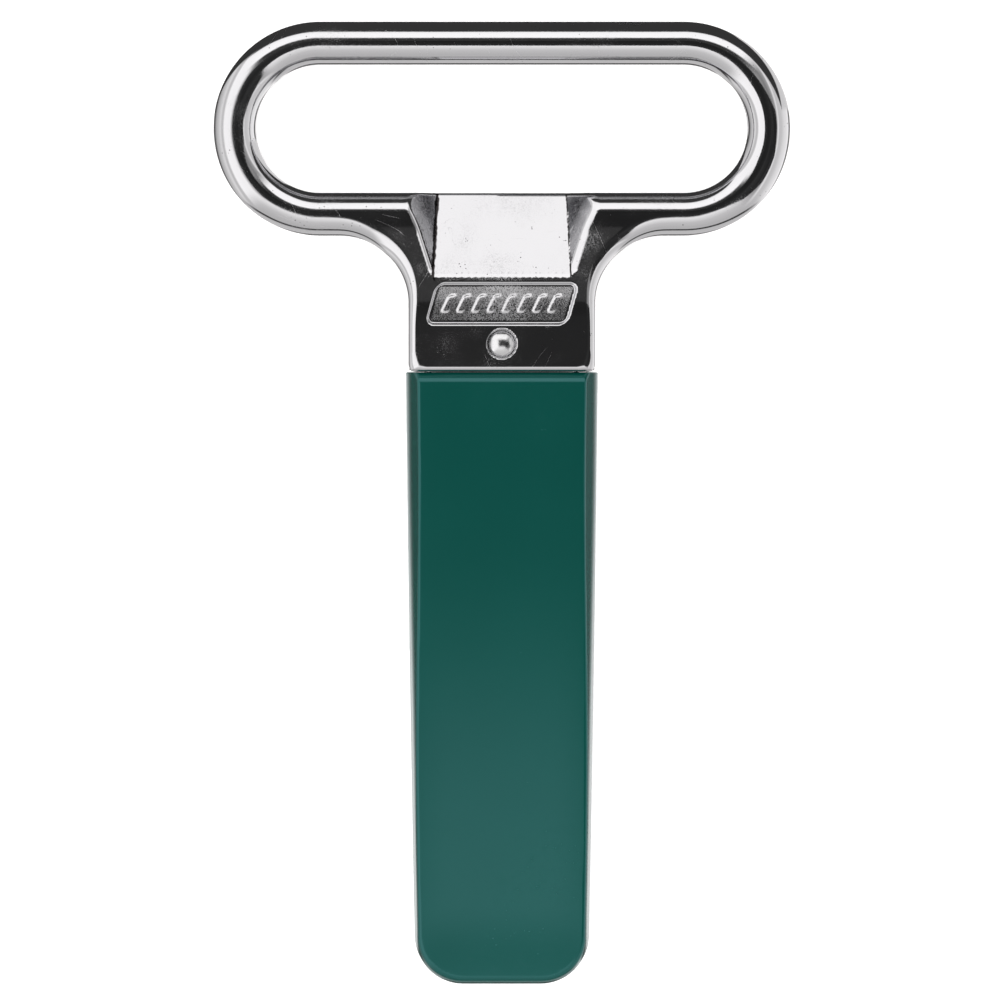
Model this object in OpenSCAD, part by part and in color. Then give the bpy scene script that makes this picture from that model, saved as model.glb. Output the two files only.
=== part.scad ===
// Two-prong cork puller with a cap lifter in its neck and a push-on sheath.
// It lies on its back: X across, Y towards the finger loop, Z up through its thickness.
// The origin is under the middle of the whole tool, on the surface it lies on.

/* [Overall] */
// Width across the finger loop
overall_w = 76.2; // [62:0.1:95]
// Length from the crown of the loop to the end of the sheath
overall_l = 127; // [104:0.5:156]

/* [Finger loop] */
// Width of the rod, in the plane of the loop
rod_w = 5.6; // [4.6:0.1:6.8]
// Thickness of the rod, from front to back
rod_t = 8; // [6.8:0.1:9.8]
// Outer radius of the loop's round ends
loop_r = 14.1; // [11.5:0.1:17]

/* [Neck] */
// Width of the neck
neck_w = 25; // [20.5:0.1:30]
// Thickness of the neck, from front to back
neck_t = 12; // [10:0.1:14.4]
// Length of the neck below the loop's lower bar
neck_l = 18; // [16.5:0.1:22]
// Radius of the concave flare between the neck and the loop
flare_r = 9; // [6:0.1:11]
// Wall in front of and behind the prong pocket
pocket_wall = 1.5; // [1.2:0.05:1.9]
// Wall on each side of the prong pocket
pocket_side = 1.8; // [1.4:0.1:2.4]
// Radius of the lower corners of the neck
neck_corner_r = 0.6; // [0.4:0.1:1.2]

/* [Cap lifter] */
// Flat land on each side of the recess at its lower line
lifter_land = 3.4; // [2.6:0.1:4.2]
// Length of the recess, from the loop's opening down the neck
lifter_l = 11; // [9:0.1:12]
// Thickness of the lip that goes under a cap
lip_t = 3.5; // [2.8:0.1:4.2]
// How far each side wall leans out for each unit it rises
wall_lean = 1.1; // [0.7:0.05:1.3]
// How far the mouth widens on each side for each unit along the neck
wall_flare = 0.52; // [0.3:0.01:0.7]

/* [Plaque] */
// Flat land on each side of the plaque
plaque_land = 2.6; // [2.2:0.1:3.4]
// Height of the plaque
plaque_h = 5.3; // [4:0.1:5.6]
// Depth of the plaque
plaque_d = 0.4; // [0.2:0.05:0.6]
// How far the plaque's upper edge is shifted to the right
plaque_slant = 1.5; // [0:0.1:2]
// Gap between the plaque and the lower line of the cap-lifter recess
plaque_gap = 1.0; // [0.6:0.1:1.4]

/* [Rivet] */
// Diameter of the rivet's shank
rivet_d = 2.8; // [2.3:0.1:3.4]
// Diameter of the rivet's heads
head_d = 3.5; // [3.4:0.1:3.9]
// Height of the domed front head
head_h = 0.7; // [0.5:0.05:1.1]
// Depth of the seat under the domed head
front_seat = 0.4; // [0.2:0.05:0.6]
// Height of the flat rear head
rear_head_h = 0.5; // [0.3:0.05:0.6]
// Height of the rivet above the neck's lower end
rivet_up = 3.6; // [3.4:0.1:4.4]
// Gap around a head in its seat
seat_gap = 0.25; // [0.15:0.05:0.5]

/* [Prongs] */
// Thickness of the spring strip
strip_t = 0.9; // [0.7:0.05:1.1]
// Width of a blade at its tip
tip_w = 6; // [5:0.1:7]
// How much shorter the short prong is
short_by = 9; // [6:0.5:14]
// Radius of the ear around the rivet
ear_r = 3; // [2.5:0.1:3.1]
// Wall of the sleeve that keeps the ears apart
sleeve_wall = 0.8; // [0.6:0.05:1]

/* [Sheath] */
// How far the sheath stands out past the neck on each side
sheath_step = 0.2; // [0:0.05:0.4]
// How much narrower the sheath is at its end
sheath_taper = 2.6; // [1.5:0.1:3.2]
// How much thinner the sheath is at its end
sheath_thin = 1; // [0.5:0.1:1.4]
// Thickness of the sheath's side walls
sheath_wall = 1.35; // [1.1:0.05:1.5]
// Thickness of the sheath's end
sheath_end = 1.6; // [1.2:0.1:2.2]
// Outer radius of the sheath's end corners
sheath_corner_r = 6.3; // [4.5:0.1:7.5]

/* [Clearances] */
// Seam between the neck and the sheath
seam = 0.1; // [0.05:0.05:0.4]
// Radial clearance of the ears and the sleeve on the rivet
run_gap = 0.05; // [0.02:0.01:0.1]
// Radial clearance of the rivet in the neck
rivet_gap = 0.02; // [0.01:0.01:0.05]
// Gap between an ear and the wall or the sleeve beside it
ear_gap = 0.1; // [0.05:0.01:0.15]
// Room in the pocket above and beside the ears, for rocking
rock_room = 0.5; // [0.4:0.05:0.8]
// Room between a prong's tip and the side of the sheath
tip_side_room = 1.35; // [1.2:0.05:1.8]
// Room between the long prong and the sheath's end
tip_end_room = 3.2; // [2.6:0.1:5]

/* [Hidden] */
$fn = 72;
over = 1;                                     // how far a cut runs past the face it opens

mid_z = neck_t / 2;
top_y = overall_l / 2;
loop_y = top_y - loop_r;                      // centre line of the finger loop
loop_half = overall_w / 2 - loop_r;           // half of the loop's straight part
rod_path_r = loop_r - rod_w / 2;
bar_y = loop_y - rod_path_r;                  // centre line of the lower bar
bar_low = loop_y - loop_r;                    // outer edge of the lower bar
opening_y = bar_low + rod_w;                  // edge of the loop's opening
flare = min(flare_r, loop_half - neck_w / 2);  // flare radius, kept within the loop's straight part
neck_end = bar_low - neck_l;

pocket_half = neck_w / 2 - pocket_side;
pocket_d = neck_t - 2 * pocket_wall;
rivet_y = neck_end + rivet_up;
pocket_top = rivet_y + ear_r + 3 * rock_room;
shoulder_y = pocket_top;                      // where the front starts to slope down to the loop
rear_shoulder_y = bar_low - rod_w / 2;        // where the back starts to slope up to the loop
thinning = (neck_t - rod_t) / 2 / (bar_y - shoulder_y);

lifter_y = opening_y - lifter_l;
lifter_half = neck_w / 2 - lifter_land;
lifter_z = neck_t - thinning * (lifter_y - shoulder_y);
lip_z = mid_z - rod_t / 2 + lip_t;            // top of the lip at the opening
ramp_slope = (lifter_z - lip_z) / lifter_l;

plaque_half = neck_w / 2 - plaque_land;
plaque_top = lifter_y - plaque_gap;

front_seat_z = neck_t - front_seat;
rear_seat_z = rear_head_h + ear_gap;
seat_d = head_d + 2 * seat_gap;
dome_r = (pow(head_d / 2, 2) + pow(head_h, 2)) / (2 * head_h);

sheath_y = neck_end - seam;
sheath_half = neck_w / 2 + sheath_step;
sheath_end_half = sheath_half - sheath_taper / 2;
sheath_l = sheath_y + top_y;
end_thin = sheath_thin / 2;

strip_half = pocket_half - rock_room;         // outer face of a blade at its root
blade_w = pocket_d - 2 * ear_gap;
tip_half = sheath_end_half - sheath_wall - tip_side_room;
long_tip_y = -top_y + sheath_end + tip_end_room;
short_tip_y = long_tip_y + short_by;
ear_low = neck_end + (rivet_up - ear_r);
ear_top = rivet_y + ear_r;
front_ear_z = mid_z + blade_w / 2 - strip_t;
rear_ear_z = mid_z - blade_w / 2;

// Extrudes a (Y, Z) profile across X, centred on the tool's middle plane.
module across(w) rotate([90, 0, 90]) linear_extrude(w, center = true) children();

// Section of the rod: X is the width in the loop's plane, Y the thickness.
module rod_section() {
    reach = (rod_t - rod_w) / 2;
    square([rod_w, 2 * reach], center = true);
    for (s = [-1, 1]) translate([0, s * reach]) circle(d = rod_w);
}

module loop() {
    translate([0, loop_y, mid_z]) for (s = [-1, 1]) {
        translate([s * loop_half, 0, 0]) rotate([0, 0, -s * 90])
            rotate_extrude(angle = 180) translate([rod_path_r, 0]) rod_section();
        translate([0, s * rod_path_r, 0]) rotate([0, 0, 90]) rotate([90, 0, 0])
            linear_extrude(2 * loop_half, center = true) rod_section();
    }
}

// Front outline of the neck: a strip that flares into the lower bar.
module neck_outline() {
    flare_half = neck_w / 2 + flare;
    translate([-neck_w / 2, neck_end + neck_corner_r]) square([neck_w, bar_y - neck_end - neck_corner_r]);
    translate([-neck_w / 2 + neck_corner_r, neck_end]) square([neck_w - 2 * neck_corner_r, neck_corner_r]);
    for (s = [-1, 1]) translate([s * (neck_w / 2 - neck_corner_r), neck_end + neck_corner_r])
        circle(r = neck_corner_r);
    difference() {
        translate([-flare_half, bar_low - flare]) square([2 * flare_half, bar_y - bar_low + flare]);
        for (s = [-1, 1]) translate([s * flare_half, bar_low - flare]) circle(r = flare);
    }
}

// Side outline of the neck: full thickness below, thinned to the rod at the bar, with a long flat back.
module neck_profile() {
    polygon([[neck_end, 0], [rear_shoulder_y, 0], [bar_y, mid_z - rod_t / 2],
             [bar_y, mid_z + rod_t / 2], [shoulder_y, neck_t], [neck_end, neck_t]]);
}

// The wedge cut out of the top of the neck, with side walls that lean outwards.
module lifter_cut() {
    reach = lifter_l + over;
    floor_z = lifter_z - ramp_slope * reach;
    far_half = lifter_half + wall_flare * reach - wall_lean * ramp_slope * reach;
    rise = wall_lean * (neck_t + over - lifter_z);
    near_y = lifter_y;
    far_y = lifter_y + reach;
    top_z = neck_t + over;
    far_top = far_half + wall_lean * (top_z - floor_z);
    polyhedron(
        points = [[-lifter_half, near_y, lifter_z], [lifter_half, near_y, lifter_z],
                  [far_half, far_y, floor_z], [-far_half, far_y, floor_z],
                  [-lifter_half - rise, near_y, top_z], [lifter_half + rise, near_y, top_z],
                  [far_top, far_y, top_z], [-far_top, far_y, top_z]],
        faces = [[0, 1, 2, 3], [7, 6, 5, 4], [4, 5, 1, 0], [5, 6, 2, 1], [6, 7, 3, 2], [7, 4, 0, 3]]);
}

module plaque_cut() {
    translate([0, plaque_top - plaque_h, neck_t - plaque_d]) linear_extrude(plaque_d + over)
        polygon([[-plaque_half, 0], [plaque_half - plaque_slant, 0],
                 [plaque_half, plaque_h], [plaque_slant - plaque_half, plaque_h]]);
}

module handle() {
    color("silver") difference() {
        union() {
            loop();
            intersection() {
                linear_extrude(neck_t) neck_outline();
                across(overall_w) neck_profile();
            }
        }
        lifter_cut();
        plaque_cut();
        translate([-pocket_half, neck_end - over, pocket_wall])
            cube([2 * pocket_half, pocket_top - neck_end + over, pocket_d]);
        translate([0, rivet_y, -over]) cylinder(d = rivet_d + 2 * rivet_gap, h = neck_t + 2 * over);
        translate([0, rivet_y, front_seat_z]) cylinder(d = seat_d, h = front_seat + over);
        translate([0, rivet_y, -over]) cylinder(d = seat_d, h = rear_seat_z + over);
    }
}

module rivet() {
    color("gainsboro") translate([0, rivet_y, 0]) {
        translate([0, 0, rear_seat_z]) cylinder(d = rivet_d, h = front_seat_z - rear_seat_z);
        translate([0, 0, rear_seat_z - rear_head_h]) cylinder(d = head_d, h = rear_head_h);
        intersection() {
            translate([0, 0, front_seat_z + head_h - dome_r]) sphere(r = dome_r);
            translate([0, 0, front_seat_z]) cylinder(d = 2 * head_d, h = 2 * head_h);
        }
    }
}

module spacer_sleeve() {
    low = rear_ear_z + strip_t + ear_gap;
    color("dimgray") translate([0, rivet_y, low]) difference() {
        cylinder(d = rivet_d + 2 * (run_gap + sleeve_wall), h = front_ear_z - ear_gap - low);
        translate([0, 0, -over]) cylinder(d = rivet_d + 2 * run_gap, h = neck_t);
    }
}

// A blade on the +X side, leaning inwards to its round tip.
module blade(tip_y) {
    lean = (strip_half - tip_half) / (neck_end - long_tip_y);
    tip_x = strip_half - lean * (neck_end - tip_y);
    tip_r = tip_w / 2;
    intersection() {
        linear_extrude(neck_t) polygon([
            [strip_half, ear_top], [strip_half - strip_t, ear_top],
            [strip_half - strip_t, neck_end], [tip_x - strip_t, tip_y],
            [tip_x, tip_y], [strip_half, neck_end]]);
        across(overall_w) {
            polygon([[ear_top, rear_ear_z], [ear_top, rear_ear_z + blade_w],
                     [neck_end, rear_ear_z + blade_w], [tip_y + tip_r, mid_z + tip_r],
                     [tip_y + tip_r, mid_z - tip_r], [neck_end, rear_ear_z]]);
            translate([tip_y + tip_r, mid_z]) circle(r = tip_r);
        }
    }
}

// The folded ear on the +X side, from the blade to its hole on the rivet.
module ear(z) {
    translate([0, 0, z]) linear_extrude(strip_t) difference() {
        union() {
            polygon([[strip_half - strip_t / 2, ear_low], [strip_half - strip_t / 2, ear_top],
                     [0, rivet_y + ear_r], [0, rivet_y - ear_r]]);
            translate([0, rivet_y]) circle(r = ear_r);
        }
        translate([0, rivet_y]) circle(d = rivet_d + 2 * run_gap);
    }
}

module long_prong() {
    color("lightsteelblue") mirror([1, 0, 0]) {
        blade(long_tip_y);
        ear(front_ear_z);
    }
}

module short_prong() {
    color("lightsteelblue") {
        blade(short_tip_y);
        ear(rear_ear_z);
    }
}

// Front outline of the sheath, brought in by a wall; open says how far it runs past the mouth.
module sheath_outline(wall, end_wall, open) {
    lean = sheath_taper / 2 / sheath_l;
    r = sheath_corner_r - wall;
    end_y = -top_y + end_wall;
    corner_x = sheath_end_half - wall - r;
    union() {
        for (s = [-1, 1]) translate([s * corner_x, end_y + r]) circle(r = r);
        polygon([[-corner_x, end_y], [corner_x, end_y], [corner_x + r, end_y + r],
                 [sheath_half - wall + lean * open, sheath_y + open],
                 [-sheath_half + wall - lean * open, sheath_y + open],
                 [-corner_x - r, end_y + r]]);
    }
}

// Side outline of the sheath, brought in by a wall.
module sheath_profile(wall, open) {
    lean = end_thin / sheath_l;
    polygon([[-top_y, end_thin + wall], [-top_y, neck_t - end_thin - wall],
             [sheath_y + open, neck_t - wall + lean * open], [sheath_y + open, wall - lean * open]]);
}

module sheath() {
    color("darkgreen") difference() {
        intersection() {
            linear_extrude(neck_t) sheath_outline(0, 0, 0);
            across(overall_w) sheath_profile(0, 0);
        }
        intersection() {
            linear_extrude(neck_t) sheath_outline(sheath_wall, sheath_end, over);
            across(overall_w) sheath_profile(sheath_wall, over);
        }
    }
}

handle();
rivet();
spacer_sleeve();
long_prong();
short_prong();
sheath();
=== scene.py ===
"""Two-prong cork puller: the looks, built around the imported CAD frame."""
import math

import bpy
import numpy as np
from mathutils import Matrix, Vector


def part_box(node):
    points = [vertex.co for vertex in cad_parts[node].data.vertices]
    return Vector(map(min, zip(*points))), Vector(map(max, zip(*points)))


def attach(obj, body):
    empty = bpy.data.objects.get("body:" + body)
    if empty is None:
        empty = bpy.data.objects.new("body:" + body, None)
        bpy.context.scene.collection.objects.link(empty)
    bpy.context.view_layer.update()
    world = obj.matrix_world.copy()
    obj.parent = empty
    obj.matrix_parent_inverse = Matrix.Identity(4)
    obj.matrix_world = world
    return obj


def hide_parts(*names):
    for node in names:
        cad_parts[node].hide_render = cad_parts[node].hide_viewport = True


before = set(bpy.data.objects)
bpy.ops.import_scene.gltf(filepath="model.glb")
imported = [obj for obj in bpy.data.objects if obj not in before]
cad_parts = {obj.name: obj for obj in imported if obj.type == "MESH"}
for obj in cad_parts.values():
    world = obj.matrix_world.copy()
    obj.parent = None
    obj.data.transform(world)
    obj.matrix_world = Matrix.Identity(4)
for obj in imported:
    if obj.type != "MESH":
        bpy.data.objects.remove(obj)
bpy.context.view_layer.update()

MM = 0.001


def corners(node):
    """A node's lowest and highest corners, in millimetres."""
    low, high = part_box(node)
    return np.array(low) / MM, np.array(high) / MM


# ---------------------------------------------------------------- sizes, in millimetres
HANDLE_LOW, HANDLE_HIGH = corners("handle")
SHEATH_LOW, SHEATH_HIGH = corners("sheath")
RIVET_LOW, RIVET_HIGH = corners("rivet")
LONG_LOW, LONG_HIGH = corners("long_prong")
SHORT_LOW, SHORT_HIGH = corners("short_prong")
SLEEVE_LOW, SLEEVE_HIGH = corners("spacer_sleeve")

MID_Z = (HANDLE_LOW[2] + HANDLE_HIGH[2]) / 2
NECK_END = HANDLE_LOW[1]
NECK_T = HANDLE_HIGH[2] - HANDLE_LOW[2]
NECK_HALF = 12.5
ROD_W = 5.6
ROD_T = 8.0
LOOP_R = 14.1
FLARE_R = 9.0

LOOP_Y = HANDLE_HIGH[1] - LOOP_R
LOOP_HALF = HANDLE_HIGH[0] - LOOP_R
ROD_PATH_R = LOOP_R - ROD_W / 2
BAR_Y = LOOP_Y - ROD_PATH_R
BAR_LOW = LOOP_Y - LOOP_R
OPENING_Y = BAR_LOW + ROD_W
RIVET_Y = (RIVET_LOW[1] + RIVET_HIGH[1]) / 2
POCKET_TOP = RIVET_Y + 4.5
POCKET_WALL = 1.5
POCKET_HALF = NECK_HALF - 1.8


# ---------------------------------------------------------------- signed distances
def both(a, b, r=0.0):
    """What lies inside a and b, with its edge rounded to r."""
    if np.ndim(r) == 0 and r == 0.0:
        return np.maximum(a, b)
    u, v = np.maximum(r + a, 0), np.maximum(r + b, 0)
    return np.minimum(-r, np.maximum(a, b)) + np.hypot(u, v)


def either(a, b, r=0.0):
    """What lies inside a or b, with the corner between them filled to radius r."""
    return -both(-a, -b, r)


def merge(a, b, k):
    """What lies inside a and b, with every one of its contours rounded alike."""
    h = np.maximum(k - np.abs(a - b), 0) / k
    return np.maximum(a, b) + h * h * k / 4


def ramp(t):
    """A smooth step from 0 to 1."""
    t = np.clip(t, 0, 1)
    return t * t * (3 - 2 * t)


def mix(a, b, t):
    """a where t is 0, b where t is 1."""
    return a + (b - a) * t


def ease(t, k=0.2):
    """A straight rise from 0 to 1 with both of its ends rounded off over k."""
    t = np.clip(t, 0, 1)
    low, high = t * t / (2 * k * (1 - k)), 1 - (1 - t) ** 2 / (2 * k * (1 - k))
    return np.where(t < k, low, np.where(t > 1 - k, high, (t - k / 2) / (1 - k)))


# ---------------------------------------------------------------- meshes from signed distances
SPREAD = 0.3
GRADIENT_STEP = 2e-3
SNAP_ROUNDS = 3
SNAP_LIMIT = 0.3
LEAST_SLOPE = 0.05


def axis_points(low, high, coarse, spans=()):
    """Grid lines from low to high, coarse apart, with finer (from, to, step) spans that ease outwards."""
    points = [low]
    while points[-1] < high:
        at = points[-1]
        steps = [step + SPREAD * max(a - at, at - b, 0) for a, b, step in spans]
        points.append(at + min(steps + [coarse]))
    return np.array(points)


def gradient(field, p):
    """The field's slope at each point, by central differences."""
    g = np.empty_like(p)
    for i in range(3):
        q = p.copy()
        q[:, i] += GRADIENT_STEP
        up = field(*q.T)
        q[:, i] -= 2 * GRADIENT_STEP
        g[:, i] = (up - field(*q.T)) / (2 * GRADIENT_STEP)
    return g


EDGES = [((0, 0, 0), (1, 0, 0)), ((0, 1, 0), (1, 1, 0)), ((0, 0, 1), (1, 0, 1)), ((0, 1, 1), (1, 1, 1)),
         ((0, 0, 0), (0, 1, 0)), ((1, 0, 0), (1, 1, 0)), ((0, 0, 1), (0, 1, 1)), ((1, 0, 1), (1, 1, 1)),
         ((0, 0, 0), (0, 0, 1)), ((1, 0, 0), (1, 0, 1)), ((0, 1, 0), (0, 1, 1)), ((1, 1, 0), (1, 1, 1))]


def surface(name, field, xs, ys, zs, settle=4):
    """A closed quad mesh of the field's zero surface, with exact points and normals."""
    grid = np.stack(np.meshgrid(xs, ys, zs, indexing="ij"), -1)
    value = field(grid[..., 0], grid[..., 1], grid[..., 2])
    inside = value < 0
    n = [len(xs) - 1, len(ys) - 1, len(zs) - 1]

    def corner(a, o):
        return a[o[0]:o[0] + n[0], o[1]:o[1] + n[1], o[2]:o[2] + n[2]]

    total = np.zeros(n, int)
    for i in range(8):
        total += corner(inside, (i & 1, i >> 1 & 1, i >> 2 & 1))
    cells = np.argwhere((total > 0) & (total < 8))
    index = np.full(n, -1)
    index[tuple(cells.T)] = np.arange(len(cells))
    place = np.zeros((len(cells), 3))
    count = np.zeros(len(cells))
    for a, b in EDGES:
        ia, ib = tuple((cells + a).T), tuple((cells + b).T)
        va, vb = value[ia], value[ib]
        cut = (va < 0) != (vb < 0)
        t = np.where(cut, va / np.where(cut, va - vb, 1), 0)[:, None]
        place += np.where(cut[:, None], grid[ia] * (1 - t) + grid[ib] * t, 0)
        count += cut
    place /= count[:, None]

    quads = []
    for axis in range(3):
        u, v = [i for i in range(3) if i != axis]
        first = [slice(None)] * 3
        second = [slice(None)] * 3
        first[axis], second[axis] = slice(0, -1), slice(1, None)
        a, b = inside[tuple(first)], inside[tuple(second)]
        for rising in (False, True):
            at = np.argwhere((b & ~a) if rising else (a & ~b))
            at = at[(at[:, u] > 0) & (at[:, v] > 0)]
            ring = []
            for du, dv in ((-1, -1), (0, -1), (0, 0), (-1, 0)):
                c = at.copy()
                c[:, u] += du
                c[:, v] += dv
                ring.append(index[tuple(c.T)])
            if rising != (axis == 1):
                ring.reverse()
            quads.append(np.stack(ring, 1))
    quads = np.concatenate(quads)

    def relax(p):
        total, number = np.zeros_like(p), np.zeros(len(p))
        for k in range(4):
            a, b = quads[:, k], quads[:, (k + 1) % 4]
            np.add.at(total, a, p[b])
            np.add.at(number, a, 1)
        return total / number[:, None]

    def snap(p):
        for _ in range(SNAP_ROUNDS):
            f = field(*p.T)
            g = gradient(field, p)
            g2 = np.maximum((g * g).sum(1), LEAST_SLOPE)
            p = p - np.clip(f / g2, -SNAP_LIMIT, SNAP_LIMIT)[:, None] * g
        return p

    place = snap(place)
    for _ in range(settle):
        place = snap(mix(place, relax(place), 0.5))
    normal = gradient(field, place)
    normal /= np.maximum(np.linalg.norm(normal, axis=1), 1e-9)[:, None]

    mesh = bpy.data.meshes.new(name)
    mesh.from_pydata((place * MM).tolist(), [], quads.tolist())
    mesh.polygons.foreach_set("use_smooth", np.ones(len(mesh.polygons), bool))
    mesh.normals_split_custom_set_from_vertices(normal.tolist())
    mesh.update()
    piece = bpy.data.objects.new(name, mesh)
    bpy.context.collection.objects.link(piece)
    return piece


# ---------------------------------------------------------------- handle
SHOULDER_Y = POCKET_TOP - 1.0
REAR_SHOULDER_Y = BAR_LOW - ROD_W / 2
NECK_EDGE_R = 1.0
NECK_END_EDGE_R = 0.62
NECK_DRAFT = 0.04
FLARE_EDGE_R = 2.1
NECK_CORNER_K = 1.1
NECK_CORNER_W = 2.2
NECK_CORNER_SWELL = 0.35
LIFTER_Y = OPENING_Y - 11.0
LIFTER_HALF = NECK_HALF - 3.4
LIP_Z = MID_Z - ROD_T / 2 + 3.5
WALL_LEAN = 1.1
LIP_EDGE_LEFT = 0.28
LIP_EDGE_RIGHT = 0.46
WALL_FLARE = 0.52
PLAQUE_HALF = NECK_HALF - 2.5
PLAQUE_H = 5.3
PLAQUE_D = 0.42
PLAQUE_SLANT = 1.5
RIB_PITCH = 2.0
RIB_W = 0.95
RIB_H = 0.13
PLAQUE_Y = LIFTER_Y - 1.05 - PLAQUE_H / 2
SEAT_R = 1.95
FRONT_SEAT = 0.4
REAR_SEAT = 0.6
HOLE_R = 1.42
LIFTER_EDGE_R = 0.08
LIFTER_CHIP = 0.012
LIFTER_CHIP_W = 0.6
PLAQUE_CORNER_R = 1.1
PLAQUE_FLOOR_R = 0.2
PLAQUE_EDGE_R = 0.3
POCKET_R = 0.6
POCKET_EDGE_R = 0.25
SEAT_EDGE_R = 0.12
RIB_HALF_H = 1.1
RIB_LEAN = 0.2
RIB_SOFT = 0.4


def front_half(y):
    """From the middle plane to the front face, which slopes gently down to the rod."""
    return mix(NECK_T / 2, ROD_T / 2, ease((y - SHOULDER_Y) / (BAR_Y - SHOULDER_Y)))


def rear_half(y):
    """From the middle plane to the flat back, which turns up to the rod only at the bar."""
    return mix(NECK_T / 2, ROD_T / 2, ramp((y - REAR_SHOULDER_Y) / (BAR_Y - REAR_SHOULDER_Y)))


def plaque_plan(x, y):
    """The plaque's slanted outline with round ends."""
    v = y - PLAQUE_Y
    u = x - PLAQUE_SLANT / PLAQUE_H * v
    return both(np.abs(u) - PLAQUE_HALF + PLAQUE_SLANT / 2, np.abs(v) - PLAQUE_H / 2, PLAQUE_CORNER_R), u, v


def plaque_field(x, y, z, face):
    """The plaque's hollow, with a row of plain low slanted ribs on its floor."""
    plan, u, v = plaque_plan(x, y)
    pitch = (u - RIB_LEAN * v) / RIB_PITCH
    across = np.abs(pitch - np.floor(pitch) - 0.5) * RIB_PITCH
    rib = both(across - RIB_W / 2, np.abs(v) - RIB_HALF_H, RIB_SOFT)
    ribs = ramp(0.5 - rib / RIB_SOFT) * ramp((-1.0 - plan) / 0.2)
    return both(plan, face - PLAQUE_D + RIB_H * ribs - z, PLAQUE_FLOOR_R)


def chipped(x):
    """The slightly ragged run of a cast edge along X."""
    return np.sin(7.1 * x + 1) + 0.7 * np.sin(13.3 * x + 2) + 0.5 * np.sin(23.9 * x + 0.4)


LIFTER_Z = MID_Z + float(front_half(LIFTER_Y))
LIFTER_SLOPE = (LIFTER_Z - LIP_Z) / (OPENING_Y - LIFTER_Y)
WALL_NORM = math.sqrt(1 + WALL_FLARE ** 2 + WALL_LEAN ** 2)


def handle_field(x, y, z):
    """The casting: the loop's rod and the flared neck, less the recess, plaque, pocket, hole and seats."""
    ax, az = np.abs(x), np.abs(z - MID_Z)
    ring = np.abs(np.hypot(np.maximum(ax - LOOP_HALF, 0), y - LOOP_Y) - ROD_PATH_R) - ROD_W / 2
    flank = np.maximum(either(ax - NECK_HALF + NECK_DRAFT * az, BAR_LOW - y, FLARE_R), y - OPENING_Y)
    neck = np.maximum(merge(flank, NECK_END - y, NECK_CORNER_K), ax - LOOP_HALF)
    face = MID_Z + front_half(y)
    half = np.where(z > MID_Z, front_half(y), rear_half(y))
    along = ramp((y - SHOULDER_Y + 2) / (BAR_LOW - SHOULDER_Y + 2))
    outward = ramp((ax - NECK_HALF) / (LOOP_HALF - NECK_HALF))
    to_end = (NECK_END - y - flank) / NECK_CORNER_W
    side = mix(NECK_EDGE_R, NECK_END_EDGE_R, ramp(to_end + 0.5))
    side = side + NECK_CORNER_SWELL * ramp(1 - np.abs(to_end))
    edge = mix(side, mix(FLARE_EDGE_R, ROD_W / 2, outward), along)
    edge = np.where(y > BAR_Y, ROD_W / 2, edge)
    body = both(np.minimum(ring, neck), az - half, edge)

    floor = (LIFTER_Z - LIFTER_SLOPE * (y - LIFTER_Y) - z) / math.hypot(1, LIFTER_SLOPE)
    wall = (ax - LIFTER_HALF - WALL_FLARE * (y - LIFTER_Y) - WALL_LEAN * (z - LIFTER_Z)) / WALL_NORM
    floor = floor + LIFTER_CHIP * chipped(x) * ramp((LIFTER_Y + LIFTER_CHIP_W - y) / LIFTER_CHIP_W)
    wedge = np.maximum(np.maximum(floor, wall), y - LOOP_Y)
    soft = ramp((wall - floor + 0.2) / 0.4) * ramp((y - LIFTER_Y - 0.05) / 0.8)
    soft = np.maximum(soft, ramp((y - OPENING_Y + 1.2) / 0.8))
    lip_edge = mix(LIP_EDGE_LEFT, LIP_EDGE_RIGHT, ramp(x / 4 + 0.5))
    body = both(body, -wedge, mix(LIFTER_EDGE_R, lip_edge, soft))
    body = both(body, -plaque_field(x, y, z, face), PLAQUE_EDGE_R)

    pocket = both(ax - POCKET_HALF, az - NECK_T / 2 + POCKET_WALL, POCKET_R)
    pocket = both(pocket, y - POCKET_TOP, POCKET_R)
    body = both(body, -pocket, POCKET_EDGE_R)

    r = np.hypot(x, y - RIVET_Y)
    seats = np.minimum(both(r - SEAT_R, NECK_T - FRONT_SEAT - z), both(r - SEAT_R, z - REAR_SEAT))
    body = both(body, -seats, SEAT_EDGE_R)
    return np.maximum(body, HOLE_R - r)


def make_handle():
    xs = axis_points(-38.6, 38.6, 0.46, [(-13.2, 13.2, 0.21)])
    ys = axis_points(NECK_END - 0.5, HANDLE_HIGH[1] + 0.5, 0.46,
                     [(NECK_END - 0.5, OPENING_Y + 0.5, 0.21), (LIFTER_Y - 0.2, LIFTER_Y + 0.2, 0.1)])
    zs = axis_points(-0.5, NECK_T + 0.5, 0.27)
    return surface("handle_casting", handle_field, xs, ys, zs)


# ---------------------------------------------------------------- sheath
SHEATH_MOUTH = SHEATH_HIGH[1]
SHEATH_END = SHEATH_LOW[1]
SHEATH_HALF = SHEATH_HIGH[0]
SHEATH_TAPER = 1.3
SHEATH_THIN = 0.5
SHEATH_CORNER_R = 6.3
SHEATH_WALL = 1.35
END_WALL = 1.6
DRAFT = 0.14
BEVEL_TILT = math.radians(69)
BEVEL = 1.6
END_BEVEL = 0.5
MOUTH_BEVEL = 0.95
BULGE = 0.1
CROWN_FROM = 6.0
CROWN = 0.008
FALL_FROM = 11.0
FALL = 0.005
SIDE_EDGE_R = 0.35
MOUTH_EDGE_R = 0.42
MOUTH_RIM_R = 0.15
INNER_R = 0.8
INNER_EDGE_R = 0.2


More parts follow.
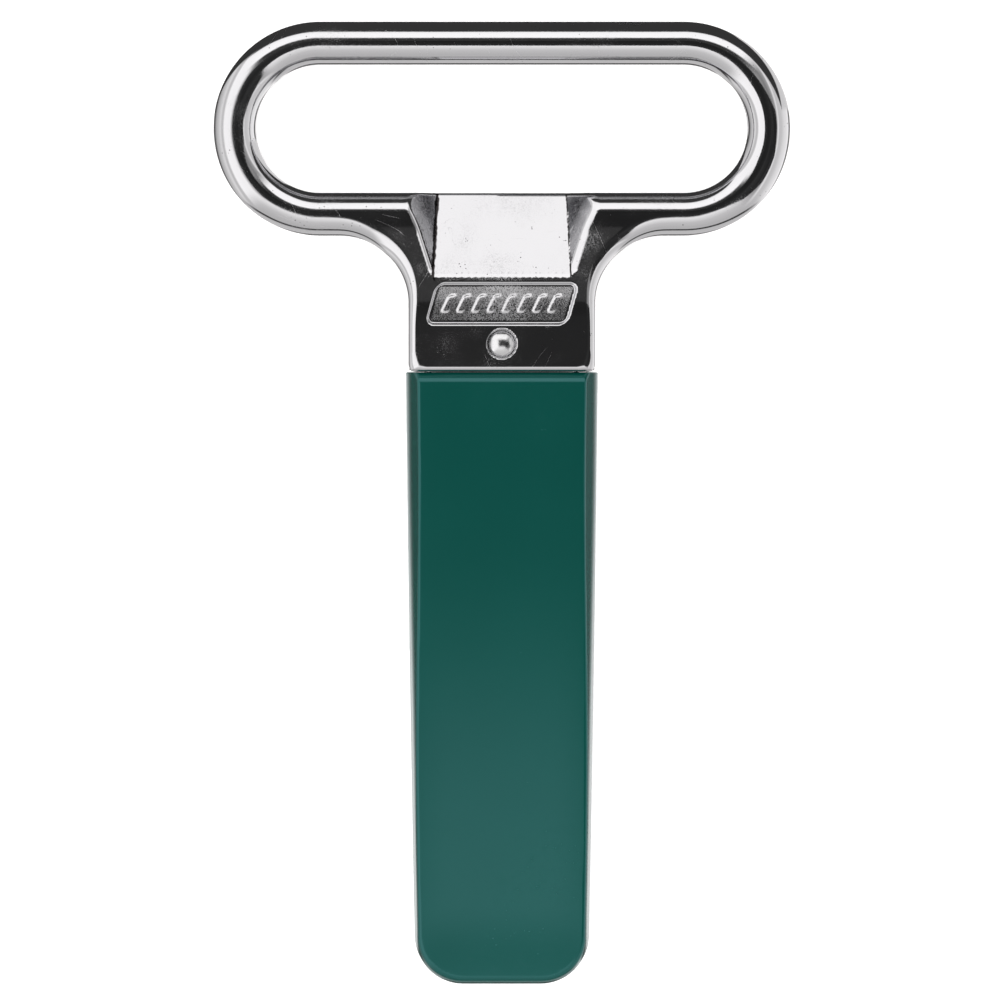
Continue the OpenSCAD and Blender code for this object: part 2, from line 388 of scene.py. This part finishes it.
def sheath_plan(x, y, wall, end_wall):
    """The sheath's outline from the front, drawn in by its walls."""
    t = (y - SHEATH_END) / (SHEATH_MOUTH - SHEATH_END)
    half = SHEATH_HALF - SHEATH_TAPER * (1 - t) + BULGE * np.sin(np.pi * np.clip(t, 0, 1)) - wall
    return both(np.abs(x) - half, SHEATH_END + end_wall - y, SHEATH_CORNER_R - wall)


def sheath_field(x, y, z):
    """The sheath: a bevelled and slightly crowned shell that thins towards its closed end."""
    t = np.clip((y - SHEATH_END) / (SHEATH_MOUTH - SHEATH_END), 0, 1)
    az = np.abs(z - MID_Z)
    flat = NECK_T / 2 - SHEATH_THIN * (1 - t)
    crown = CROWN * np.maximum(np.abs(x) - CROWN_FROM, 0) ** 2
    high = flat - crown - FALL * np.maximum(SHEATH_END + FALL_FROM - y, 0) ** 2
    plan = sheath_plan(x, y, 0, 0)
    crisp = mix(0.5, 0.25, ramp(t * 1.5))
    opened = ramp(t * 1.4 - 0.25)
    draft = DRAFT * mix(0.55, 1, opened) * ramp((y - SHEATH_END - 1) / 6)
    side = (plan + draft * az) / math.hypot(1, DRAFT)
    width = mix(END_BEVEL, BEVEL, opened)
    bevel = (plan + width) * math.sin(BEVEL_TILT) + (az - high) * math.cos(BEVEL_TILT)
    mouth_bevel = (y - SHEATH_MOUTH + az - high + MOUTH_BEVEL) / math.sqrt(2)
    outer = both(both(az - high, bevel, crisp), side, SIDE_EDGE_R)
    outer = both(outer, mouth_bevel, MOUTH_EDGE_R)
    outer = both(outer, y - SHEATH_MOUTH, MOUTH_RIM_R)
    inner = both(sheath_plan(x, y, SHEATH_WALL, END_WALL), az - flat + SHEATH_WALL, INNER_R)
    return both(outer, -inner, INNER_EDGE_R)


def make_sheath():
    xs = axis_points(-13.2, 13.2, 0.8, [(-13.2, -9, 0.2), (9, 13.2, 0.2)])
    ys = axis_points(SHEATH_END - 0.5, SHEATH_MOUTH + 0.5, 0.8,
                     [(SHEATH_MOUTH - 1.6, SHEATH_MOUTH + 0.5, 0.12),
                      (SHEATH_END - 0.5, SHEATH_END + 1.5, 0.2)])
    zs = axis_points(-0.4, NECK_T + 0.4, 0.4, [(-0.4, 2, 0.2), (NECK_T - 2, NECK_T + 0.4, 0.2)])
    return surface("sheath_shell", sheath_field, xs, ys, zs, settle=2)


# ---------------------------------------------------------------- prongs
STRIP_T = 0.9
STRIP_HALF = POCKET_HALF - 0.5
EAR_R = 3.0
TIP_W = 6.0
TIP_HALF = 8.7
RUN_GAP = 0.05
BEND_R = 1.5
CURVE = 0.35
TIP_T = 0.5
TIP_THIN = 12
STRIP_EDGE_R = 0.22
STRIP_TOP_R = 0.5
EAR_EDGE_R = 0.12
EAR_FILL_R = 0.6
OUTSIDE = -9


def prong_field(tip_y, front):
    """The field of a prong on the +X side, with its ear at the front or at the back."""
    blade_half = (LONG_HIGH[2] - LONG_LOW[2]) / 2
    side = 1 if front else -1
    lean = (STRIP_HALF - TIP_HALF) / (NECK_END - LONG_LOW[1])

    def field(x, y, z):
        up = (z - MID_Z) * side
        az = np.abs(up)
        tip_r = TIP_W / 2
        down = np.clip((NECK_END - y) / (NECK_END - tip_y), 0, 1)
        half = mix(blade_half, tip_r, down)
        thick = mix(STRIP_T, TIP_T, ramp((tip_y + TIP_THIN - y) / TIP_THIN))
        outer = STRIP_HALF - lean * np.maximum(NECK_END - y, 0)
        outer = outer - CURVE * ramp(down * 6) * (az / blade_half) ** 2
        sheet = np.abs(x - outer + thick / 2) - thick / 2
        edge = np.where(y > tip_y + tip_r, az - half, np.hypot(az, y - tip_y - tip_r) - tip_r)
        blade = both(both(sheet, edge, STRIP_EDGE_R), y - (RIVET_Y + EAR_R), STRIP_TOP_R)
        run = np.hypot(x, y - RIVET_Y) - EAR_R
        tongue = both(np.abs(y - RIVET_Y) - EAR_R, np.maximum(-x, x - STRIP_HALF))
        ear_sheet = np.abs(up - blade_half + STRIP_T / 2) - STRIP_T / 2
        ear = both(np.minimum(run, tongue), ear_sheet, EAR_EDGE_R)
        bend = both(x - STRIP_HALF, up - blade_half, BEND_R)
        whole = np.maximum(either(blade, ear, EAR_FILL_R), np.where(y > NECK_END, bend, OUTSIDE))
        hole = np.hypot(x, y - RIVET_Y) - (HOLE_R - 0.02 + RUN_GAP)
        return np.maximum(whole, -hole)

    return field


def make_prong(name, low, high, front, mirrored):
    base = prong_field(low[1], front)
    field = (lambda x, y, z: base(-x, y, z)) if mirrored else base
    xs = axis_points(low[0] - 0.4, high[0] + 0.4, 0.22)
    ys = axis_points(low[1] - 0.4, high[1] + 0.5, 0.5,
                     [(NECK_END - 1, high[1] + 0.5, 0.22), (low[1] - 0.4, low[1] + 3, 0.22)])
    zs = axis_points(low[2] - 0.4, high[2] + 0.4, 0.25)
    return surface(name, field, xs, ys, zs, settle=2)


# ---------------------------------------------------------------- turned pieces
LATHE_STEPS = 96
DOME_STEPS = 14
SHANK_R = 1.4
REAR_HEAD_Z = 0.5
REAR_HEAD_BEVEL = 0.12
SLEEVE_WALL = 0.8
SLEEVE_BEVEL = 0.15
SHARP_FROM = math.radians(35)


def turned_ring(profile, centre, angle):
    """The profile's (radius, z) points in the plane at this angle about the axis, in metres."""
    cos, sin = math.cos(angle), math.sin(angle)
    return [((centre[0] + r * cos) * MM, (centre[1] + r * sin) * MM, z * MM) for r, z in profile]


def turned_piece(name, points, faces):
    mesh = bpy.data.meshes.new(name)
    mesh.from_pydata(points, [], faces)
    piece = bpy.data.objects.new(name, mesh)
    bpy.context.collection.objects.link(piece)
    return piece


def lathe(name, profile, centre):
    """A solid of revolution about Z. profile is a closed loop of (radius, z) points, in millimetres."""
    points, quads = [], []
    n = len(profile)
    for i in range(LATHE_STEPS):
        points += turned_ring(profile, centre, 2 * math.pi * i / LATHE_STEPS)
    for i in range(LATHE_STEPS):
        j = (i + 1) % LATHE_STEPS
        for k in range(n):
            m = (k + 1) % n
            quads.append((i * n + k, j * n + k, j * n + m, i * n + m))
    return turned_piece(name, points, quads)


def solid_lathe(name, profile, centre):
    """A solid of revolution that reaches the axis at both ends of its open profile."""
    points = [(centre[0] * MM, centre[1] * MM, profile[0][1] * MM)]
    inner = profile[1:-1]
    n = len(inner)
    for i in range(LATHE_STEPS):
        points += turned_ring(inner, centre, 2 * math.pi * i / LATHE_STEPS)
    points.append((centre[0] * MM, centre[1] * MM, profile[-1][1] * MM))
    faces = []
    for i in range(LATHE_STEPS):
        j = (i + 1) % LATHE_STEPS
        a, b = 1 + i * n, 1 + j * n
        faces.append((0, b, a))
        faces += [(a + k, b + k, b + k + 1, a + k + 1) for k in range(n - 1)]
        faces.append((len(points) - 1, a + n - 1, b + n - 1))
    return turned_piece(name, points, faces)


def smooth(piece):
    """Smooth shading, kept sharp at real corners."""
    mesh = piece.data
    mesh.polygons.foreach_set("use_smooth", np.ones(len(mesh.polygons), bool))
    mesh.set_sharp_from_angle(angle=SHARP_FROM)


def make_rivet():
    head_r = (RIVET_HIGH[0] - RIVET_LOW[0]) / 2
    seat, low, top = NECK_T - FRONT_SEAT, RIVET_LOW[2], RIVET_HIGH[2]
    rise = top - seat
    dome_r = (head_r ** 2 + rise ** 2) / (2 * rise)
    reach = math.asin(head_r / dome_r)
    tilts = [reach * i / DOME_STEPS for i in range(DOME_STEPS + 1)]
    dome = [(dome_r * math.sin(t), top - dome_r * (1 - math.cos(t))) for t in tilts]
    profile = [(0, low), (head_r - REAR_HEAD_BEVEL, low), (head_r, low + REAR_HEAD_BEVEL),
               (head_r, low + REAR_HEAD_Z), (SHANK_R, low + REAR_HEAD_Z),
               (SHANK_R, seat), (head_r, seat)] + dome[-2::-1]
    piece = solid_lathe("rivet_body", profile, (0, RIVET_Y))
    smooth(piece)
    return piece


def make_sleeve():
    r = (SLEEVE_HIGH[0] - SLEEVE_LOW[0]) / 2
    bore = r - SLEEVE_WALL
    low, high = SLEEVE_LOW[2], SLEEVE_HIGH[2]
    c = SLEEVE_BEVEL
    profile = [(bore, low + c), (bore + c, low), (r - c, low), (r, low + c),
               (r, high - c), (r - c, high), (bore + c, high), (bore, high - c)]
    piece = lathe("sleeve_tube", profile, (0, RIVET_Y))
    smooth(piece)
    return piece


# ---------------------------------------------------------------- materials
# Fine wear lines in the chrome: the turn of each set, in radians, and how drawn out it is.
HAIRLINES = [(0.35, 0.05), (-0.5, 0.06), (1.25, 0.05), (0.9, 0.08)]
# Where handling has dulled the chrome: x, y and reach in millimetres, and how much.
WORN = [(-18, 61, 14, 0.85), (-1, 61, 12, 0.60), (-35, 51, 10, 0.75),
        (-9, 19.5, 9, 0.85), (-16.5, 37.5, 8, 0.7), (9.5, 21, 7, 0.4)]
CHROME = (0.64, 0.64, 0.655, 1)
# Dark colour for the grime in the pits and for the painted shade along the recess's creases.
PIT_GRIME_AND_SHADE = (0.03, 0.028, 0.028, 1)
GREEN_DEEP = (0.0006, 0.0400, 0.0312, 1)
GREEN_PALE = (0.0009, 0.0440, 0.0345, 1)
DUST = (0.10, 0.20, 0.17, 1)
CHROME_ROUGH = 0.04
HAZE_ROUGH = 0.33
LINE_ROUGH = 0.22
PIT_ROUGH = 0.3
CAST_ROUGH = (0.15, 0.25)
CHROME_BUMP = (0.06, 0.00008)
STEEL_BUMP = (0.12, 0.00004)
GREEN_ROUGH = 0.19
GREEN_IOR = 1.72
GREEN_SHINE = (0.42, 0.90, 1.0, 1)
SPECK_SHARE = 0.12
GREEN_BUMP = (0.04, 0.0002)
CARD_GLOW = (0.020, 0.045)


class Nodes:
    """A small helper that builds one material's node tree."""

    def __init__(self, name):
        self.material = bpy.data.materials.new(name)
        self.material.use_nodes = True
        self.tree = self.material.node_tree
        self.shader = self.tree.nodes["Principled BSDF"]
        self.place = self.add("ShaderNodeTexCoord").outputs["Object"]

    def add(self, kind, **settings):
        node = self.tree.nodes.new(kind)
        for key, value in settings.items():
            setattr(node, key, value)
        return node

    def link(self, source, target):
        self.tree.links.new(source, target)

    def feed(self, node, key, value):
        if isinstance(value, bpy.types.NodeSocket):
            self.link(value, node.inputs[key])
        else:
            node.inputs[key].default_value = value

    def axes(self):
        node = self.add("ShaderNodeSeparateXYZ")
        self.link(self.place, node.inputs[0])
        return node.outputs

    def stretched(self, scale, turn=(0, 0, 0)):
        node = self.add("ShaderNodeMapping", vector_type="TEXTURE")
        node.inputs["Scale"].default_value = [1 / s for s in scale]
        node.inputs["Rotation"].default_value = turn
        self.link(self.place, node.inputs["Vector"])
        return node.outputs["Vector"]

    def noise(self, scale, detail=3.0, rough=0.5, vector=None):
        node = self.add("ShaderNodeTexNoise")
        self.feed(node, "Vector", vector or self.place)
        self.feed(node, "Scale", scale)
        self.feed(node, "Detail", detail)
        self.feed(node, "Roughness", rough)
        return node.outputs["Fac"]

    def cells(self, scale):
        node = self.add("ShaderNodeTexVoronoi", feature="F1")
        self.feed(node, "Vector", self.place)
        self.feed(node, "Scale", scale)
        return node.outputs["Distance"]

    def math(self, operation, a, b=0.0, clamp=False):
        node = self.add("ShaderNodeMath", operation=operation, use_clamp=clamp)
        self.feed(node, 0, a)
        self.feed(node, 1, b)
        return node.outputs[0]

    def band(self, value, low, high, to_low=0.0, to_high=1.0):
        node = self.add("ShaderNodeMapRange", interpolation_type="SMOOTHSTEP")
        keys = ("Value", "From Min", "From Max", "To Min", "To Max")
        for key, v in zip(keys, (value, low, high, to_low, to_high)):
            self.feed(node, key, v)
        return node.outputs["Result"]

    def blend(self, factor, a, b):
        node = self.add("ShaderNodeMix", data_type="RGBA")
        self.feed(node, "Factor", factor)
        self.feed(node, "A", a)
        self.feed(node, "B", b)
        return node.outputs["Result"]

    def spot(self, x, y, reach):
        """1 at a place on the plan, in millimetres, fading to 0 over its reach."""
        node = self.add("ShaderNodeVectorMath", operation="DISTANCE")
        flat = self.add("ShaderNodeVectorMath", operation="MULTIPLY")
        self.link(self.place, flat.inputs[0])
        flat.inputs[1].default_value = (1, 1, 0)
        self.link(flat.outputs["Vector"], node.inputs[0])
        node.inputs[1].default_value = (x * MM, y * MM, 0)
        return self.band(node.outputs["Value"], 0.0, reach * MM, 1.0, 0.0)

    def scratches(self, scale, stretch, turn, width):
        """Thin drawn-out marks: the narrow crossings of a stretched noise."""
        line = self.noise(scale, 1.0, 0.3, self.stretched(stretch, turn))
        near = self.math("ABSOLUTE", self.math("SUBTRACT", line, 0.5))
        return self.band(near, 0.0, width, 1.0, 0.0)

    def bump(self, height, strength, distance):
        node = self.add("ShaderNodeBump")
        self.feed(node, "Height", height)
        self.feed(node, "Strength", strength)
        self.feed(node, "Distance", distance)
        self.link(node.outputs["Normal"], self.shader.inputs["Normal"])

    def set(self, **values):
        for key, value in values.items():
            self.feed(self.shader, key.replace("_", " "), value)


def chrome_material():
    """Chrome plate over a die casting: a mirror with a grainy haze, pits, hairlines, a cast plaque and
    painted shade in the recess's creases.
    """
    m = Nodes("chrome_plate")
    patch = m.noise(120, 3.0, 0.55)
    grain = m.noise(5600, 2.0, 0.6)
    worn = m.band(patch, 0.45, 0.70, 0.14, 0.6)
    for x, y, reach, much in WORN:
        uneven = m.math("MULTIPLY", m.spot(x, y, reach), m.band(patch, 0.38, 0.64, 0.4 * much, much))
        worn = m.math("MAXIMUM", worn, uneven)
    haze = m.math("MULTIPLY", m.band(grain, 0.38, 0.62), worn)
    lines = 0.0
    for i, (turn, length) in enumerate(HAIRLINES):
        line = m.scratches(260 + 70 * i, (1, length, 1), (0, 0, turn), 0.004)
        turned_noise = m.noise(110 + 30 * i, 2.0, 0.5, m.stretched((1, 1, 1), (i, 2 * i, i)))
        where = m.band(turned_noise, 0.58, 0.66)
        lines = m.math("MAXIMUM", lines, m.math("MULTIPLY", line, where))
    pit = m.band(m.cells(1900), 0.08, 0.20, 1.0, 0.0)
    pit = m.math("MULTIPLY", pit, m.band(m.noise(420, 2.0), 0.57, 0.66))
    cast = plaque_mask(m)
    rough = m.math("ADD", m.math("MULTIPLY", haze, HAZE_ROUGH), m.math("MULTIPLY", lines, LINE_ROUGH))
    rough = m.math("ADD", rough, m.math("MULTIPLY", pit, PIT_ROUGH))
    rough = m.math("ADD", rough, m.math("MULTIPLY", cast, m.band(grain, 0.3, 0.7, *CAST_ROUGH)))
    m.set(Metallic=1.0, Roughness=m.math("ADD", rough, CHROME_ROUGH, clamp=True))
    # The base colour goes dark in the pits and, as painted shade, along the recess's creases.
    dark = m.math("MAXIMUM", pit, crease_shade_mask(m))
    m.set(Base_Color=m.blend(dark, CHROME, PIT_GRIME_AND_SHADE))
    height = m.math("MULTIPLY", m.noise(5200, 3.0, 0.6), 0.35)
    height = m.math("SUBTRACT", height, m.math("MULTIPLY", pit, 0.8))
    height = m.math("ADD", height, m.math("MULTIPLY", m.noise(330, 2.0), 1.4))
    cast_grain = m.math("MULTIPLY", m.noise(3300, 3.0, 0.7), cast)
    height = m.math("ADD", height, m.math("MULTIPLY", cast_grain, 1.6))
    m.bump(height, *CHROME_BUMP)
    return m.material


def crease_shade_mask(m):
    """1 along the creases where the recess's side walls meet its floor, where shade is painted into the
    chrome's colour.
    """
    x, y, z = m.axes()
    along = m.math("SUBTRACT", y, LIFTER_Y * MM)
    up = m.math("SUBTRACT", z, LIFTER_Z * MM)
    out = m.math("SUBTRACT", m.math("ABSOLUTE", x), LIFTER_HALF * MM)
    wall = m.math("SUBTRACT", out, m.math("MULTIPLY", along, WALL_FLARE))
    wall = m.math("ABSOLUTE", m.math("SUBTRACT", wall, m.math("MULTIPLY", up, WALL_LEAN)))
    floor = m.math("ABSOLUTE", m.math("ADD", up, m.math("MULTIPLY", along, LIFTER_SLOPE)))
    side = m.band(x, -0.001, 0.001, 1.0, 0.45)
    reach = m.math("MULTIPLY", side, m.band(m.noise(900, 2.0), 0.3, 0.7, 0.20 * MM, 0.40 * MM))
    near = m.math("SUBTRACT", 1.0, m.math("DIVIDE", m.math("ADD", wall, floor), reach), clamp=True)
    return m.band(near, 0.0, 0.5)


def plaque_mask(m):
    """1 on the rough cast floor of the slanted plaque, 0 on the polished metal around it."""
    x, y, z = m.axes()
    v = m.math("SUBTRACT", y, PLAQUE_Y * MM)
    u = m.math("SUBTRACT", x, m.math("MULTIPLY", v, PLAQUE_SLANT / PLAQUE_H))
    half = PLAQUE_HALF - PLAQUE_SLANT / 2
    tall = m.band(m.math("ABSOLUTE", v), (PLAQUE_H / 2 - 0.6) * MM, (PLAQUE_H / 2 - 0.3) * MM, 1.0, 0.0)
    wide = m.band(m.math("ABSOLUTE", u), (half - 0.6) * MM, (half - 0.3) * MM, 1.0, 0.0)
    front = m.band(z, MID_Z * MM, (MID_Z + 1) * MM)
    return m.math("MULTIPLY", m.math("MULTIPLY", tall, wide), front)


def steel_material(name, colour, stretch, rough_low, rough_high):
    """Bare steel with a grain along one direction."""
    m = Nodes(name)
    grain = m.noise(2600, 3.0, 0.65, m.stretched(stretch))
    broad = m.noise(140, 3.0)
    darker = tuple(0.86 * c for c in colour[:3]) + (1,)
    m.set(Metallic=1.0, Base_Color=m.blend(m.band(broad, 0.3, 0.7), colour, darker))
    m.set(Roughness=m.band(grain, 0.3, 0.7, rough_low, rough_high))
    m.bump(grain, *STEEL_BUMP)
    return m.material


def plastic_material():
    """Glossy moulded green plastic: a deep colour, faint mould waviness, fine scuffs and dust specks."""
    m = Nodes("green_plastic")
    broad = m.noise(28, 3.0)
    speck = m.band(m.cells(900), 0.02, 0.06, 1.0, 0.0)
    speck = m.math("MULTIPLY", speck, m.band(m.noise(260, 2.0), 0.62, 0.70))
    scuff = m.band(m.noise(2200, 3.0, 0.65), 0.50, 0.75)
    scuff = m.math("MULTIPLY", scuff, m.band(m.noise(60, 3.0), 0.45, 0.70))
    green = m.blend(m.band(broad, 0.3, 0.7), GREEN_DEEP, GREEN_PALE)
    m.set(Base_Color=m.blend(m.math("MULTIPLY", speck, SPECK_SHARE), green, DUST))
    rough = m.math("ADD", m.math("MULTIPLY", speck, SPECK_SHARE), m.math("MULTIPLY", scuff, 0.10))
    m.set(Roughness=m.math("ADD", rough, GREEN_ROUGH, clamp=True))
    m.shader.inputs["IOR"].default_value = GREEN_IOR
    m.shader.inputs["Specular Tint"].default_value = GREEN_SHINE
    height = m.math("ADD", m.noise(110, 2.0), m.math("MULTIPLY", m.noise(900, 2.0), 0.10))
    m.bump(height, *GREEN_BUMP)
    return m.material


# ---------------------------------------------------------------- stage
# Brightness of the sky by its angle from overhead, in degrees: south to north, then west to east.
LENGTH_LIGHT = [(-180, 0.08), (-152, 0.10), (-142, 0.74), (-98, 0.74), (-94, 0.05), (-86, 0.05),
                (-82, 0.68), (-68, 0.68), (-42, 0.80), (-25, 1.10), (-18, 1.22), (-14.5, 0.35),
                (-9, 0.25), (-4, 1.10), (3, 1.05), (8, 0.05), (24, 0.05), (28, 1.48), (48, 1.46),
                (60, 1.34), (62.5, 0.07), (85, 0.07), (120, 0.03), (150, 0.02), (180, 0.3)]
WIDTH_LIGHT = [(-178, 1.25), (-158, 1.15), (-150, 0.10), (-136, 0.08), (-118, 0.62), (-100, 0.80),
               (-83, 1.08), (-72, 0.74), (-64, 0.85), (-60, 1.42), (-23, 1.36), (-14, 0.45),
               (-4, 1.05), (4, 1.05), (14, 0.45), (30, 0.30), (44, 0.50), (51, 1.20), (58, 0.80),
               (72, 0.84), (88, 1.05), (115, 1.2), (128, 1.40), (134, 0.2), (150, 0.10),
               (158, 1.15), (178, 1.25)]
# The dark sky low in the north starts at an angle from overhead that grows away from north. Each side has
# the northing below which it grows, and how fast.
DARK_FROM = 66.0
DARK_LEFT = (0.95, 120.0)
DARK_RIGHT = (0.6, 45.0)
DARK_LIGHT = 0.05
# Below it at the right the sky is pale again, from an angle that grows with the northing, faster at its end.
RIM_FROM, RIM_NORTHING, RIM_SLOPE = 85.0, 0.22, 78.0
RIM_END, RIM_END_SLOPE = 0.85, 300.0
RIM_LIGHT = 0.90
# The backdrop that the camera sees past the floor, and the studio's slightly warm white.
BACKDROP_LIGHT = 0.95
STUDIO_WHITE = (1.0, 0.985, 0.98, 1)
# The dark card's outline and its height, in metres.
CARD = [(-0.108, -0.034), (0.060, -0.034), (0.200, -0.150), (0.390, -0.190),
        (0.440, -0.060), (0.330, 0.030), (0.330, 0.120), (-0.108, 0.120)]
CARD_UP = 0.33
FLOOR_GLOW = 0.34
FLOOR_HALF = 6.0
SUN_STRENGTH = 2.6
SUN_ANGLE = 100
# In metres: the picture's width on the tool's middle plane, the camera's height above it, and its place.
PICTURE_W = 0.13215
CAMERA_UP = 2.0
CAMERA_X, CAMERA_Y = -0.00024, 0.00033
SENSOR_MM = 36.0


def floor_material():
    m = Nodes("pale_floor")
    m.set(Base_Color=m.band(m.noise(30, 3.0), 0.3, 0.7, 0.90, 0.92), Roughness=1.0)
    m.set(Emission_Color=(1, 1, 1, 1), Emission_Strength=FLOOR_GLOW)
    m.shader.inputs["Specular IOR Level"].default_value = 0.0
    return m.material


def flat_sheet(name, outline, z, material):
    mesh = bpy.data.meshes.new(name)
    mesh.from_pydata([(x, y, z) for x, y in outline], [], [tuple(range(len(outline)))])
    mesh.materials.append(material)
    sheet = bpy.data.objects.new(name, mesh)
    bpy.context.collection.objects.link(sheet)
    return sheet


def make_floor():
    far = FLOOR_HALF
    floor = flat_sheet("floor", [(-far, -far), (far, -far), (far, far), (-far, far)], 0, floor_material())
    floor.visible_glossy = False


def studio_world():
    """A studio by direction: softboxes beyond the loop and at the left, pale areas and dark gaps."""
    world = bpy.data.worlds.new("studio")
    world.use_nodes = True
    bpy.context.scene.world = world
    tree = world.node_tree
    background = tree.nodes["Background"]

    def calc(operation, a, b=0.0):
        node = tree.nodes.new("ShaderNodeMath")
        node.operation = operation
        for i, v in enumerate((a, b)):
            if isinstance(v, bpy.types.NodeSocket):
                tree.links.new(v, node.inputs[i])
            else:
                node.inputs[i].default_value = v
        return node.outputs[0]

    def step(value, low, high):
        node = tree.nodes.new("ShaderNodeMapRange")
        node.interpolation_type = "SMOOTHSTEP"
        tree.links.new(value, node.inputs["Value"])
        node.inputs["From Min"].default_value = low
        node.inputs["From Max"].default_value = high
        return node.outputs["Result"]

    def mixed(a, b, t):
        return calc("ADD", calc("MULTIPLY", a, calc("SUBTRACT", 1.0, t)), calc("MULTIPLY", b, t))

    def profile(angle, stops):
        """Brightness along one line of the sky: stops are (angle in degrees, brightness) pairs."""
        node = tree.nodes.new("ShaderNodeValToRGB")
        tree.links.new(calc("ADD", calc("DIVIDE", angle, 360), 0.5), node.inputs["Fac"])
        elements = node.color_ramp.elements
        while len(elements) < len(stops):
            elements.new(0.5)
        for element, (at, light) in zip(elements, stops):
            element.position = at / 360 + 0.5
            element.color = (light / 2, light / 2, light / 2, 1)
        return calc("MULTIPLY", node.outputs["Color"], 2.0)

    direction = tree.nodes.new("ShaderNodeTexCoord").outputs["Generated"]
    split = tree.nodes.new("ShaderNodeSeparateXYZ")
    tree.links.new(direction, split.inputs[0])
    x, y, z = split.outputs
    zenith = calc("MULTIPLY", calc("ARCCOSINE", z), 180 / math.pi)
    flat = calc("SQRT", calc("ADD", calc("MULTIPLY", x, x), calc("MULTIPLY", y, y)))
    flat = calc("MAXIMUM", flat, 1e-4)
    east = calc("DIVIDE", x, flat)
    north = calc("DIVIDE", y, flat)

    length = profile(calc("MULTIPLY", zenith, north), LENGTH_LIGHT)
    width = profile(calc("MULTIPLY", zenith, east), WIDTH_LIGHT)
    light = mixed(length, width, step(calc("MULTIPLY", east, east), 0.35, 0.65))

    def dark_from(growth):
        limit, slope = growth
        short_of = calc("MAXIMUM", calc("SUBTRACT", limit, north), 0.0)
        return calc("ADD", DARK_FROM, calc("MULTIPLY", short_of, slope))

    right = step(east, -0.05, 0.05)
    low = mixed(dark_from(DARK_LEFT), dark_from(DARK_RIGHT), right)
    high = calc("ADD", RIM_FROM, calc("MULTIPLY", calc("SUBTRACT", north, RIM_NORTHING), RIM_SLOPE))
    past = calc("MAXIMUM", calc("SUBTRACT", north, RIM_END), 0.0)
    high = calc("ADD", high, calc("MULTIPLY", past, RIM_END_SLOPE))
    beyond = calc("MULTIPLY", right, step(calc("SUBTRACT", zenith, high), 0, 6))
    dark = calc("MULTIPLY", step(calc("SUBTRACT", zenith, low), -2, 3), calc("SUBTRACT", 1.0, beyond))
    upper = step(north, 0.18, 0.24)
    light = mixed(light, DARK_LIGHT, calc("MULTIPLY", dark, upper))
    light = mixed(light, RIM_LIGHT, calc("MULTIPLY", beyond, upper))
    light = mixed(light, BACKDROP_LIGHT, is_seen(tree))
    tree.links.new(light, background.inputs["Strength"])
    background.inputs["Color"].default_value = STUDIO_WHITE


def card_material():
    m = Nodes("dark_card")
    glow = m.band(m.noise(6, 2.0), 0.35, 0.65, *CARD_GLOW)
    m.set(Base_Color=(0, 0, 0, 1), Roughness=1.0, Emission_Color=(1, 1, 1, 1), Emission_Strength=glow)
    m.shader.inputs["Specular IOR Level"].default_value = 0.0
    return m.material


def ceiling_card():
    """A dark card hung above the tool, seen only in its reflections."""
    card = flat_sheet("ceiling_card", CARD, CARD_UP, card_material())
    card.visible_camera = False
    card.visible_diffuse = False
    card.visible_shadow = False
    card.visible_transmission = False


def is_seen(tree):
    """1 for a ray that comes straight from the camera, which sees a plain pale backdrop."""
    return tree.nodes.new("ShaderNodeLightPath").outputs["Is Camera Ray"]


def add_sun():
    data = bpy.data.lights.new("overhead", "SUN")
    data.energy = SUN_STRENGTH
    data.angle = math.radians(SUN_ANGLE)
    sun = bpy.data.objects.new("overhead", data)
    bpy.context.collection.objects.link(sun)
    sun.visible_glossy = False


def add_camera():
    """Straight above the tool, with the finger loop towards the top of the picture."""
    data = bpy.data.cameras.new("camera")
    data.sensor_width = SENSOR_MM
    data.lens = SENSOR_MM * CAMERA_UP / PICTURE_W
    data.clip_start, data.clip_end = 0.01, 50.0
    camera = bpy.data.objects.new("camera", data)
    bpy.context.collection.objects.link(camera)
    camera.location = (CAMERA_X, CAMERA_Y, CAMERA_UP + NECK_T / 2 * MM)
    bpy.context.scene.camera = camera


# ---------------------------------------------------------------- assembly
SPRING = (0.60, 0.61, 0.63, 1)
TURNED = (0.50, 0.50, 0.51, 1)
PLATED = (0.74, 0.74, 0.75, 1)


def finish_piece(piece, node, body, material):
    piece.data.materials.append(material)
    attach(piece, body)
    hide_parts(node)


add_camera()
make_floor()
studio_world()
ceiling_card()
add_sun()
bpy.context.scene.view_settings.view_transform = "Standard"

chrome = chrome_material()
spring = steel_material("spring_steel", SPRING, (6, 0.25, 6), 0.16, 0.30)
turned = steel_material("turned_steel", TURNED, (1, 1, 6), 0.22, 0.36)
plated = steel_material("rivet_plate", PLATED, (1, 1, 1), 0.14, 0.26)
finish_piece(make_handle(), "handle", "handle", chrome)
finish_piece(make_rivet(), "rivet", "handle", plated)
finish_piece(make_sleeve(), "spacer_sleeve", "handle", turned)
long_strip = make_prong("long_prong_strip", LONG_LOW, LONG_HIGH, front=True, mirrored=True)
short_strip = make_prong("short_prong_strip", SHORT_LOW, SHORT_HIGH, front=False, mirrored=False)
finish_piece(long_strip, "long_prong", "long_prong", spring)
finish_piece(short_strip, "short_prong", "short_prong", spring)
finish_piece(make_sheath(), "sheath", "sheath", plastic_material())
